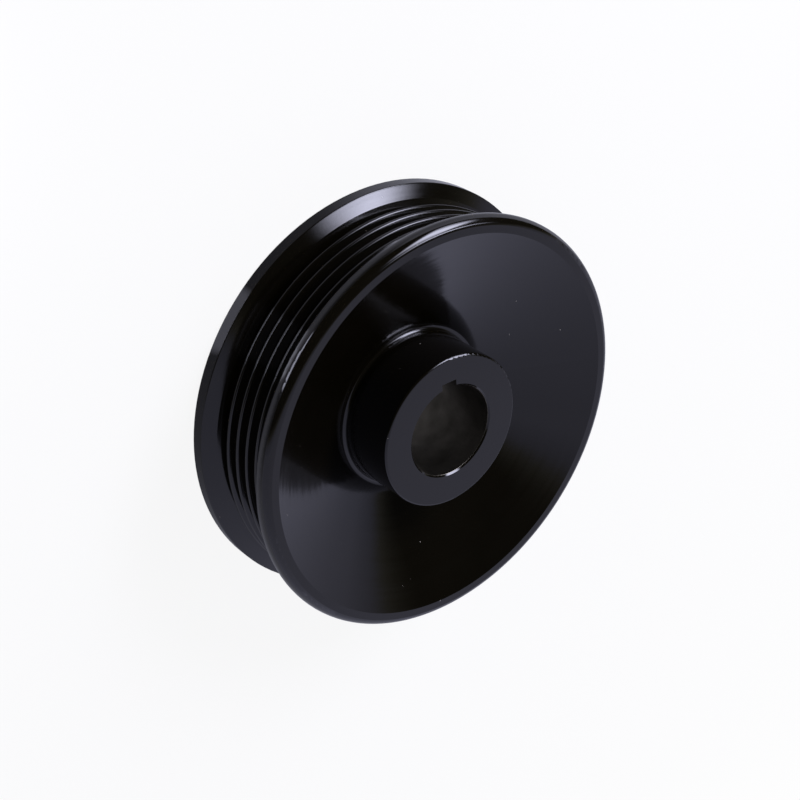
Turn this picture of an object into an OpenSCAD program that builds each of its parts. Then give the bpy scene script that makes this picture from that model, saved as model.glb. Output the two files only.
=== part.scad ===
// Poly-V pulley for an alternator shaft, turned from one piece of steel.
// It stands on its flat rear face, with the shaft axis along +Z and the clamped hub end up.
// The origin is the centre of the rear face. The section is drawn with the radius along x
// and the height above the rear face along y.

/* [Rim] */
// Outside diameter over both flanges
pulley_d = 100; // [90:0.5:120]
// Height of both flanges above the rib tips
flange_h = 3.6; // [3:0.1:4.4]
// Width of the front flange at the level of the rib tips
front_flange_w = 5.7; // [5:0.05:7]
// Width of the rear flange at the level of the rib tips
rear_flange_w = 4.7; // [3.5:0.05:8]
// Radius of the front flange's rounded edge on the front side
edge_r = 2.45; // [2.25:0.05:3]
// Width of that rounded edge, seen from the front
edge_w = 1.9; // [1:0.05:1.95]
// Slope of the rear flange's inner face, a little more than that of the groove flank below it
rear_face_angle = 23; // [18:0.5:30]
// Height above the rib tips at which that face begins
rear_face_h = 0.4; // [0.1:0.05:1]
// Radius of the rounded edge between the rear flange's band and its inner face
band_edge_r = 0.35; // [0.1:0.05:0.6]
// Edge break along the rear edge of the rim
rim_break = 0.25; // [0.1:0.05:0.5]

/* [Belt grooves] */
// Number of V grooves
groove_count = 5; // [4:1:8]
// Distance from groove to groove
groove_pitch = 3.56; // [3.5:0.01:3.62]
// Angle between the two flanks of a groove
groove_angle = 40; // [36:1:44]
// Radius of the rounded rib tips
rib_tip_r = 0.5; // [0.3:0.05:0.6]
// Radius of the rounded groove bottoms
groove_root_r = 0.5; // [0.3:0.05:0.6]

/* [Hub] */
// Outside diameter of the hub
hub_d = 37.4; // [34:0.2:44]
// How far the hub end stands out past the front rim
hub_proud = 1; // [0.2:0.1:4]
// Radius of the rounded outer edge of the hub end
hub_edge_r = 0.55; // [0.2:0.05:1.5]

/* [Bore] */
// Diameter of the shaft bore
bore_d = 22.2; // [17:0.1:25]
// Chamfer at both mouths of the bore
bore_chamfer = 0.4; // [0.2:0.05:1]
// Width of the keyway
key_w = 4; // [3:0.5:6]
// Depth of the keyway past the bore wall, on its centre line
key_depth = 1.65; // [1:0.05:3]

/* [Front dish] */
// Width of the flat ring between the rounded rim and the mouth of the dish
rim_land_w = 1.75; // [0.2:0.05:3]
// Depth of the dish below the front rim, where its cone would meet the hub
dish_depth = 14.2; // [8:0.2:15]
// Fillet between the dish and the hub
dish_fillet = 1; // [0.4:0.1:3]

/* [Rear relief] */
// Diameter of the seat that is left standing around the bore
seat_d = 38; // [30:0.5:44]
// Width of the flat ring that is left standing along the rear edge
rear_land_w = 10; // [4:0.5:12]
// Depth of the relief between them, whose walls slope at 45 degrees
relief_depth = 1.5; // [0.5:0.1:2.5]

/* [Hidden] */
$fn = 180;
coating = [0.07, 0.07, 0.08];

// How far a cut runs past the faces that it opens
overrun = 1;

pulley_r = pulley_d / 2;
rib_r = pulley_r - flange_h;
hub_r = hub_d / 2;
bore_r = bore_d / 2;
seat_r = seat_d / 2;
relief_r = pulley_r - rear_land_w;

// Groove flanks: s, c and t are the sine, cosine and tangent of their slope
flank = groove_angle / 2;
s = sin(flank);
c = cos(flank);
t = tan(flank);
// Radius at which the flanks run into the rounded tips, and into the rounded bottoms
tip_edge_r = rib_r - rib_tip_r * (1 - s);
tip_mid_r = rib_r - rib_tip_r;
root_edge_r = tip_edge_r - (groove_pitch / 2 - (rib_tip_r + groove_root_r) * c) / t;
root_mid_r = root_edge_r + groove_root_r * s;
// Width of a groove at the level of the rib tips
mouth_w = groove_pitch - 2 * rib_tip_r * (1 / c - t);

// Heights above the rear face
first_groove_z = rear_flange_w + mouth_w / 2;
last_groove_z = first_groove_z + (groove_count - 1) * groove_pitch;
rim_w = last_groove_z + mouth_w / 2 + front_flange_w;
hub_z = rim_w + hub_proud;

// The rear flange's inner face begins on the first groove's flank, and its rounded outer edge is
// tangent to it and to the band
rear_face_r = rib_r + rear_face_h;
rear_face_z = rear_flange_w - rear_face_h * t;
band_edge_mid_r = pulley_r - band_edge_r;
band_edge_mid_z = rear_face_z - (band_edge_mid_r - rear_face_r) * tan(rear_face_angle)
    - band_edge_r / cos(rear_face_angle);

// Two arcs round the front flange and meet at its largest radius: the front one ends at the flat ring,
// and the rear one is tangent to the last groove's flank
ring_r = pulley_r - edge_w;
front_mid_r = pulley_r - edge_r;
arcs_z = rim_w - sqrt(edge_r * edge_r - (ring_r - front_mid_r) * (ring_r - front_mid_r));
back_r = (arcs_z - rim_w + front_flange_w - flange_h * t) * c / (1 - s);
back_mid_r = pulley_r - back_r;

// Dish cone, from its mouth to the corner that the fillet rounds
dish_r = ring_r - rim_land_w;
corner_z = rim_w - dish_depth;
dish_slope = atan(dish_depth / (dish_r - hub_r));
fillet_mid_r = hub_r + dish_fillet;
fillet_mid_z = corner_z + dish_fillet * (tan(dish_slope) + 1 / cos(dish_slope));

// One groove between its tip edges, from the rear to the front
function groove_points(z) = [
    [tip_edge_r, z - groove_pitch / 2 + rib_tip_r * c],
    [root_edge_r, z - groove_root_r * c],
    [root_edge_r, z + groove_root_r * c],
    [tip_edge_r, z + groove_pitch / 2 - rib_tip_r * c],
];

function groove_z(i) = first_groove_z + i * groove_pitch;

// Straight-sided outline, with a chord wherever a round is added or taken out
function outline() = concat(
    // Rear face: bore mouth, seat, relief and rim
    [
        [bore_r, bore_chamfer],
        [bore_r + bore_chamfer, 0],
        [seat_r, 0],
        [seat_r + relief_depth, relief_depth],
        [relief_r - relief_depth, relief_depth],
        [relief_r, 0],
    ],
    // Band around the rear flange, and the flange's inner face
    [
        [pulley_r - rim_break, 0],
        [pulley_r, rim_break],
        [pulley_r, band_edge_mid_z],
        [
            band_edge_mid_r + band_edge_r * sin(rear_face_angle),
            band_edge_mid_z + band_edge_r * cos(rear_face_angle),
        ],
        [rear_face_r, rear_face_z],
    ],
    // Grooves
    [for (i = [0:groove_count - 1]) each groove_points(groove_z(i))],
    // Front flange, with the three points where its two arcs begin and end, and the flat ring
    [
        [back_mid_r + back_r * s, arcs_z - back_r * c],
        [pulley_r, arcs_z],
        [ring_r, rim_w],
        [dish_r, rim_w],
    ],
    // Dish and hub
    [
        [fillet_mid_r + dish_fillet * sin(dish_slope), fillet_mid_z - dish_fillet * cos(dish_slope)],
        [hub_r, fillet_mid_z],
        [hub_r, hub_z - hub_edge_r],
        [hub_r - hub_edge_r, hub_z],
        [bore_r + bore_chamfer, hub_z],
        [bore_r, hub_z - bore_chamfer],
    ]
);

module rib_tips() {
    for (i = [1:groove_count - 1])
        translate([tip_mid_r, groove_z(i) - groove_pitch / 2]) circle(rib_tip_r);
}

module groove_roots() {
    for (i = [0:groove_count - 1])
        translate([root_mid_r, groove_z(i)]) circle(groove_root_r);
}

// Each of the front flange's two circles counts on its own side of the largest radius only
module front_flange_arcs() {
    intersection() {
        translate([front_mid_r, arcs_z]) circle(edge_r);
        translate([front_mid_r, arcs_z]) square([edge_r + overrun, rim_w - arcs_z]);
    }
    intersection() {
        translate([back_mid_r, arcs_z]) circle(back_r);
        translate([back_mid_r, arcs_z - back_r - overrun]) square(back_r + overrun);
    }
}

module section() {
    difference() {
        union() {
            polygon(outline());
            rib_tips();
            front_flange_arcs();
            translate([band_edge_mid_r, band_edge_mid_z]) circle(band_edge_r);
            translate([hub_r - hub_edge_r, hub_z - hub_edge_r]) circle(hub_edge_r);
        }
        groove_roots();
        translate([fillet_mid_r, fillet_mid_z]) circle(dish_fillet);
    }
}

module keyway() {
    translate([-key_w / 2, 0, -overrun]) cube([key_w, bore_r + key_depth, hub_z + 2 * overrun]);
}

module pulley() {
    color(coating) difference() {
        rotate_extrude() section();
        keyway();
    }
}

pulley();
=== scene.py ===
# Looks of the ribbed belt pulley: its coating and bore, on a white floor under soft studio light.
# All lengths are in metres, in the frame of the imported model: the shaft axis is +Z, the rear face
# lies on z = 0 and the keyway points to +Y. Azimuths count from +X towards +Y, in degrees.
import math

import bpy
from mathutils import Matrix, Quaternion, Vector

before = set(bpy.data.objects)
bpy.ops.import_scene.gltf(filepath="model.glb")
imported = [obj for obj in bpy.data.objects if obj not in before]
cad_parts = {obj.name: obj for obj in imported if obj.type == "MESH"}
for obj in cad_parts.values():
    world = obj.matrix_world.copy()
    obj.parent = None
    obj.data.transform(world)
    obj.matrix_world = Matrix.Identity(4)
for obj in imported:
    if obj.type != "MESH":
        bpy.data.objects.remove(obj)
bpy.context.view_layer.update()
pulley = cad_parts["pulley"]

WHITE = (1, 1, 1, 1)

# Camera. The photo shows the part standing on its rim, so the camera is rolled
CAMERA_AZIMUTH = 134.1
CAMERA_ELEVATION = 42.99
CAMERA_ROLL = 121.86
CAMERA_DISTANCE = 0.4101
CAMERA_TARGET = Vector((-0.00298, 0.00284, 0.01399))
CAMERA_LENS = 81
SENSOR_WIDTH = 36

# Floor
FLOOR_RADIUS = 6.0
FLOOR_SIDES = 96
FLOOR_COLOR = (0.9, 0.9, 0.9, 1)
# Share of plain white in what the camera sees of the floor, from the part's foot to far off
CAMERA_WHITE = {"From Min": 0.05, "From Max": 0.4, "To Min": 0.9, "To Max": 1.0}

# Painted reflection: the floor glows for reflections only, with a painted pattern of light and
# shade, by the distance from the axis: right beside the part's foot up to FOOT_END, a little
# further out from MIDDLE_START to MIDDLE_END, and far off from FAR_START. The first and the last
# depend on the side, by the cosine from the middle of a bright stretch: both carry a painted pool
# of light towards the key lamp, the foot also a painted highlight in front of the strip lamp, and
# far off a painted reflection of the light wall. Round the rest of the foot the low glow is painted
# shade.
FOOT_END, MIDDLE_START, MIDDLE_END, FAR_START = 0.054, 0.072, 0.085, 0.15
MIDDLE_PAINTED_GLOW = 0.5
KEY_SIDE, STRIP_SIDE, DARK_WALL_SIDE = 40, 140, 90
FOOT_KEY_PAINTED_GLOW = {"From Min": 0.40, "From Max": 0.70, "To Min": 0.2, "To Max": 0.55}
FOOT_STRIP_PAINTED_HIGHLIGHT = {"From Min": 0.982, "From Max": 0.993, "To Min": 0.0, "To Max": 1.0}
FAR_KEY_PAINTED_GLOW = {"From Min": 0.62, "From Max": 0.85, "To Min": 0.0, "To Max": 0.8}
FAR_WALL_PAINTED_GLOW = {"From Min": -0.4, "From Max": 0.1, "To Min": 0.55, "To Max": 0.15}
# Tint of the painted reflection on the floor
PAINTED_REFLECTION_TINT = (0.94, 0.95, 1.15, 1)
# Painted shade: under the part's edge the floor is dark to reflections, and inside of that a
# painted glow, which is no lamp, lights the end of the bore and the rear face a little
PAINTED_SHADE_START, PAINTED_SHADE_END = 0.0485, 0.0495
UNDER_PART_PAINTED_GLOW = 0.32

# Radiance of the surroundings by the y part of a direction: the wall towards -Y is light, the other
# one is dark, and their tints meet at TINT_BORDER
WALL_STEPS = (
    (-1.0, 0.60), (-0.85, 0.59), (-0.6, 0.52), (-0.3, 0.46), (-0.19, 0.46), (-0.08, 0.34),
    (-0.02, 0.18), (0.03, 0.08), (0.08, 0.035), (1.0, 0.035),
)
TINT_BORDER = -0.05
LIGHT_WALL_TINT = (0.97, 0.98, 1.30)
DARK_WALL_TINT = (1.05, 1.0, 0.85)

# Softboxes. Azimuth, elevation and distance are counted from the aim, width and height are the
# angles that they fill there, spin turns them about the line to the aim, and fade says over which
# share of the way from an edge to the middle each one grows to its full radiance.
SOFTBOXES = {
    "key_softbox": dict(
        azimuth=50.5, elevation=32.5, spin=-6, wide=27, high=54, distance=0.9,
        radiance=17.5, fade=(0.5, 1.0), aim=Vector((0, 0, 0.02))),
    "flank_softbox": dict(
        azimuth=23.6, elevation=55.6, spin=-27, wide=8, high=40, distance=0.3,
        radiance=19.5, fade=(1.0, 1.0), aim=Vector((0, 0.048, 0.004))),
    "strip_softbox": dict(
        azimuth=143, elevation=0, spin=0, wide=28, high=7.6, distance=0.15,
        radiance=7.0, fade=(0.3, 0.3), aim=Vector((0, 0, 0.011))),
}
LAMP_TINT = (0.79, 0.80, 1.0)

# Black coating. Scales count a pattern's cells per metre, and heights are the depth of its bumps.
COAT_COLOR_DARK = (0.0019, 0.0014, 0.0005, 1)
COAT_COLOR_LIGHT = (0.0036, 0.0027, 0.0012, 1)
COAT_IOR = 1.5
MOTTLE_SCALE, MOTTLE_DETAIL = 90, 4.0
# Turning marks show through it as shallow waves. They change slowly along the lathe's lay, where a
# turn round the axis is a circle with a radius of MARK_TURN cells.
MARK_SCALE, MARK_DETAIL, MARK_HEIGHT = 550, 1.0, 1.2e-5
MARK_TURN = 1.4
# Orange peel of the coating itself
PEEL_SCALE, PEEL_DETAIL, PEEL_HEIGHT = 1100, 2.0, 2.5e-6
# Gloss follows the marks and the mottle
MARK_SHARE = 0.5
COAT_ROUGHNESS = {"From Min": 0.3, "From Max": 0.7, "To Min": 0.07, "To Max": 0.12}
# Dust: the largest speck's radius as a share of a cell
DUST_SCALE = 260
DUST_RADIUS = 0.045
DUST_COLOR = (0.30, 0.27, 0.23, 1)

# Bare, stained steel of the bore and the keyway, with the limits of where it is
BORE_RADIUS = 0.01116
KEY_HALF_WIDTH = 0.00201
KEY_BOTTOM = 0.01276
BORE_COLOR_DARK = (0.019, 0.018, 0.0105, 1)
BORE_COLOR_LIGHT = (0.17, 0.155, 0.126, 1)
BORE_ROUGHNESS = 0.42
STAIN_SCALE, STAIN_DETAIL = 220, 5.0


def direction(azimuth, elevation):
    """Unit vector towards an azimuth and an elevation."""
    a, e = math.radians(azimuth), math.radians(elevation)
    return Vector((math.cos(a) * math.cos(e), math.sin(a) * math.cos(e), math.sin(e)))


class Nodes:
    """Adds nodes to a tree, each with its values and links, and gives back one output."""

    def __init__(self, tree):
        self.tree = tree
        tree.nodes.clear()

    def add(self, kind, inputs=None, output=0, **settings):
        node = self.tree.nodes.new(kind)
        for name, value in settings.items():
            setattr(node, name, value)
        for name, value in (inputs or {}).items():
            if isinstance(value, bpy.types.NodeSocket):
                self.tree.links.new(value, node.inputs[name])
            else:
                node.inputs[name].default_value = value
        return node.outputs[output]

    def math(self, operation, *values):
        return self.add("ShaderNodeMath", dict(enumerate(values)), operation=operation)

    def vector(self, operation, *values, output="Vector"):
        return self.add(
            "ShaderNodeVectorMath", dict(enumerate(values)), output, operation=operation)

    def map_range(self, value, span, curve="LINEAR"):
        return self.add("ShaderNodeMapRange", {"Value": value, **span}, interpolation_type=curve)

    def ramp(self, fac, steps):
        """Straight-line steps from (position, colour) pairs, for positions from 0 to 1."""
        out = self.add("ShaderNodeValToRGB", {"Fac": fac})
        elements = out.node.color_ramp.elements
        while len(elements) < len(steps):
            elements.new(1.0)
        for element, (position, color) in zip(elements, steps):
            element.position = position
            element.color = color
        return out

    def mix_color(self, fac, a, b):
        # 0, 6 and 7 are the sockets that a mix of colours uses
        return self.add("ShaderNodeMix", {0: fac, 6: a, 7: b}, output=2, data_type="RGBA")

    def noise(self, vector, scale, detail, **inputs):
        """Noise in space, or with a fourth number W as well."""
        return self.add(
            "ShaderNodeTexNoise", {"Vector": vector, "Scale": scale, "Detail": detail, **inputs},
            noise_dimensions="4D" if "W" in inputs else "3D")

    def end(self, kind, surface):
        node = self.tree.nodes.new(kind)
        self.tree.links.new(surface, node.inputs["Surface"])


def new_material(name):
    material = bpy.data.materials.new(name)
    material.use_nodes = True
    return material, Nodes(material.node_tree)


def add_camera():
    data = bpy.data.cameras.new("camera")
    data.lens, data.sensor_width = CAMERA_LENS, SENSOR_WIDTH
    camera = bpy.data.objects.new("camera", data)
    bpy.context.scene.collection.objects.link(camera)
    back = direction(CAMERA_AZIMUTH, CAMERA_ELEVATION)
    camera.rotation_mode = "QUATERNION"
    roll = Quaternion((0, 0, 1), math.radians(CAMERA_ROLL))
    camera.rotation_quaternion = (-back).to_track_quat("-Z", "Y") @ roll
    camera.location = CAMERA_TARGET + back * CAMERA_DISTANCE
    bpy.context.scene.camera = camera


def add_floor():
    """White disc that keeps the part's shadow, with a painted pattern of light and shade that only
    reflections see.
    """
    bpy.ops.mesh.primitive_circle_add(vertices=FLOOR_SIDES, radius=FLOOR_RADIUS, fill_type="NGON")
    floor = bpy.context.object
    floor.name = "floor"
    material, n = new_material("floor_white_and_painted_reflection")
    place = n.add("ShaderNodeTexCoord", output="Object")
    distance = n.vector("LENGTH", place, output="Value")
    outward = n.vector("NORMALIZE", place)
    path = n.add("ShaderNodeLightPath").node.outputs

    # Seen by the camera, and lit by the lamps
    white = n.math("MULTIPLY", n.map_range(distance, CAMERA_WHITE), path["Is Camera Ray"])
    lit = n.add("ShaderNodeBsdfDiffuse", {"Color": FLOOR_COLOR})
    glow = n.add("ShaderNodeEmission", {"Color": WHITE, "Strength": 1.0})
    seen = n.add("ShaderNodeMixShader", {0: white, 1: lit, 2: glow})

    # Seen in reflections: painted light, a painted highlight and painted shade
    def painted_glow_by_side(azimuth, span):
        cosine = n.vector("DOT_PRODUCT", outward, direction(azimuth, 0), output="Value")
        return n.map_range(cosine, span, "SMOOTHSTEP")

    # Painted pools of light towards the key lamp and a painted highlight before the strip lamp at
    # the foot, painted reflection of the key lamp and the light wall far off
    foot = n.math(
        "MAXIMUM", painted_glow_by_side(KEY_SIDE, FOOT_KEY_PAINTED_GLOW),
        painted_glow_by_side(STRIP_SIDE, FOOT_STRIP_PAINTED_HIGHLIGHT))
    far = n.math(
        "MAXIMUM", painted_glow_by_side(KEY_SIDE, FAR_KEY_PAINTED_GLOW),
        painted_glow_by_side(DARK_WALL_SIDE, FAR_WALL_PAINTED_GLOW))
    near = n.map_range(distance, {
        "From Min": FOOT_END, "From Max": MIDDLE_START, "To Min": foot, "To Max": MIDDLE_PAINTED_GLOW})
    painted_open_glow = n.map_range(distance, {
        "From Min": MIDDLE_END, "From Max": FAR_START, "To Min": near, "To Max": far})
    # Painted shade under the part's edge, and a painted glow under the part
    painted_open_glow = n.math("MULTIPLY", painted_open_glow, n.math("GREATER_THAN", distance, PAINTED_SHADE_END))
    painted_glow_under = n.math("MULTIPLY", UNDER_PART_PAINTED_GLOW, n.math("LESS_THAN", distance, PAINTED_SHADE_START))
    painted_reflection_glow = n.add("ShaderNodeEmission", {
        "Color": PAINTED_REFLECTION_TINT, "Strength": n.math("ADD", painted_open_glow, painted_glow_under)})
    mirrored = n.math("MAXIMUM", path["Is Glossy Ray"], path["Is Transmission Ray"])
    top = n.add("ShaderNodeMixShader", {0: mirrored, 1: seen, 2: painted_reflection_glow})

    # From below the floor can be looked through
    clear = n.add("ShaderNodeBsdfTransparent")
    below = n.add("ShaderNodeNewGeometry", output="Backfacing")
    n.end("ShaderNodeOutputMaterial", n.add("ShaderNodeMixShader", {0: below, 1: top, 2: clear}))
    floor.data.materials.append(material)


def add_world():
    """Light wall and dark wall for the part, plain white for the camera itself."""
    world = bpy.data.worlds.new("studio")
    world.use_nodes = True
    n = Nodes(world.node_tree)
    towards = n.add("ShaderNodeTexCoord", output="Generated")
    y = n.add("ShaderNodeSeparateXYZ", {0: towards}, output="Y")
    # The ramp runs from 0 to 1, and y from -1 to 1
    steps = []
    for position, value in WALL_STEPS:
        tint = LIGHT_WALL_TINT if position < TINT_BORDER else DARK_WALL_TINT
        steps.append(((position + 1) / 2, [value * part for part in tint] + [1]))
    wall = n.ramp(n.math("MULTIPLY_ADD", y, 0.5, 0.5), steps)
    camera = n.add("ShaderNodeLightPath", output="Is Camera Ray")
    light = n.add("ShaderNodeBackground", {
        "Color": n.mix_color(camera, wall, WHITE), "Strength": 1.0})
    n.end("ShaderNodeOutputWorld", light)
    bpy.context.scene.world = world


def add_softbox(name, azimuth, elevation, spin, wide, high, distance, radiance, fade, aim):
    """Area lamp with soft edges, hidden from the camera itself."""
    data = bpy.data.lights.new(name, "AREA")
    data.shape = "RECTANGLE"
    data.size = 2 * distance * math.tan(math.radians(wide / 2))
    data.size_y = 2 * distance * math.tan(math.radians(high / 2))
    data.energy = radiance * math.pi * data.size * data.size_y
    data.color = LAMP_TINT
    data.use_nodes = True
    n = Nodes(data.node_tree)
    spot = n.add("ShaderNodeNewGeometry", output="Parametric")
    spot = n.add("ShaderNodeSeparateXYZ", {0: spot}).node.outputs

    def soft_edges(axis, share):
        off_middle = n.math("ABSOLUTE", n.math("MULTIPLY_ADD", spot[axis], 2, -1))
        return n.map_range(n.math("SUBTRACT", 1, off_middle), {"From Max": share}, "SMOOTHSTEP")

    strength = n.math("MULTIPLY", soft_edges("X", fade[0]), soft_edges("Y", fade[1]))
    n.end("ShaderNodeOutputLight", n.add("ShaderNodeEmission", {"Strength": strength}))

    lamp = bpy.data.objects.new(name, data)
    bpy.context.scene.collection.objects.link(lamp)
    out = direction(azimuth, elevation)
    lamp.location = aim + out * distance
    lamp.rotation_mode = "QUATERNION"
    roll = Quaternion((0, 0, 1), math.radians(spin))
    lamp.rotation_quaternion = out.to_track_quat("Z", "Y") @ roll
    lamp.visible_camera = False


def coat_pulley():
    """Gloss black coating with its marks and dust, and bare steel in the bore and the keyway."""
    material, n = new_material("black_coating")
    place = n.add("ShaderNodeTexCoord", output="Object")
    xyz = n.add("ShaderNodeSeparateXYZ", {0: place}).node.outputs
    flat = n.vector("MULTIPLY", place, (1, 1, 0))
    radius = n.vector("LENGTH", flat, output="Value")

    # Waves along the lathe's lay: quick to change with the radius and the height, slow to change
    # around the axis
    turn = n.add("ShaderNodeVectorMath", {
        0: n.vector("NORMALIZE", flat), "Scale": MARK_TURN}, operation="SCALE")
    height = n.add("ShaderNodeCombineXYZ", {"Z": n.math("MULTIPLY", xyz["Z"], MARK_SCALE)})
    marks = n.noise(
        n.vector("ADD", turn, height), 1.0, MARK_DETAIL, W=n.math("MULTIPLY", radius, MARK_SCALE))
    peel = n.noise(place, PEEL_SCALE, PEEL_DETAIL)
    bump = n.add("ShaderNodeBump", {"Height": marks, "Strength": 1.0, "Distance": MARK_HEIGHT})
    bump = n.add("ShaderNodeBump", {
        "Height": peel, "Strength": 1.0, "Distance": PEEL_HEIGHT, "Normal": bump})

    # Specks of dust: balls round the cells' points, each with a size of its own, of which those
    # that the surface cuts show
    cells = n.add("ShaderNodeTexVoronoi", {"Vector": place, "Scale": DUST_SCALE}).node.outputs
    share = n.add("ShaderNodeSeparateColor", {0: cells["Color"]})
    speck = n.math("LESS_THAN", cells["Distance"], n.math("MULTIPLY", share, DUST_RADIUS))

    mottle = n.noise(place, MOTTLE_SCALE, MOTTLE_DETAIL)
    coat_color = n.mix_color(mottle, COAT_COLOR_DARK, COAT_COLOR_LIGHT)
    coat_color = n.mix_color(speck, coat_color, DUST_COLOR)
    gloss = n.math("MULTIPLY_ADD", marks, MARK_SHARE, n.math("MULTIPLY", mottle, 1 - MARK_SHARE))
    coat_roughness = n.map_range(gloss, COAT_ROUGHNESS)

    in_bore = n.math("LESS_THAN", radius, BORE_RADIUS)
    in_key = n.math("LESS_THAN", n.math("ABSOLUTE", xyz["X"]), KEY_HALF_WIDTH)
    in_key = n.math("MULTIPLY", in_key, n.math("LESS_THAN", xyz["Y"], KEY_BOTTOM))
    in_key = n.math("MULTIPLY", in_key, n.math("GREATER_THAN", xyz["Y"], 0))
    bare = n.math("MAXIMUM", in_bore, in_key)
    stains = n.noise(place, STAIN_SCALE, STAIN_DETAIL)
    bore_color = n.mix_color(stains, BORE_COLOR_DARK, BORE_COLOR_LIGHT)

    surface = n.add("ShaderNodeBsdfPrincipled", {
        "Base Color": n.mix_color(bare, coat_color, bore_color), "Metallic": bare,
        "Roughness": n.add("ShaderNodeMix", {0: bare, 2: coat_roughness, 3: BORE_ROUGHNESS}),
        "IOR": COAT_IOR, "Normal": bump})
    n.end("ShaderNodeOutputMaterial", surface)
    for slot in pulley.material_slots:
        slot.material = material


add_camera()
add_floor()
add_world()
for name, settings in SOFTBOXES.items():
    add_softbox(name, **settings)
coat_pulley()
bpy.context.scene.view_settings.view_transform = "Standard"
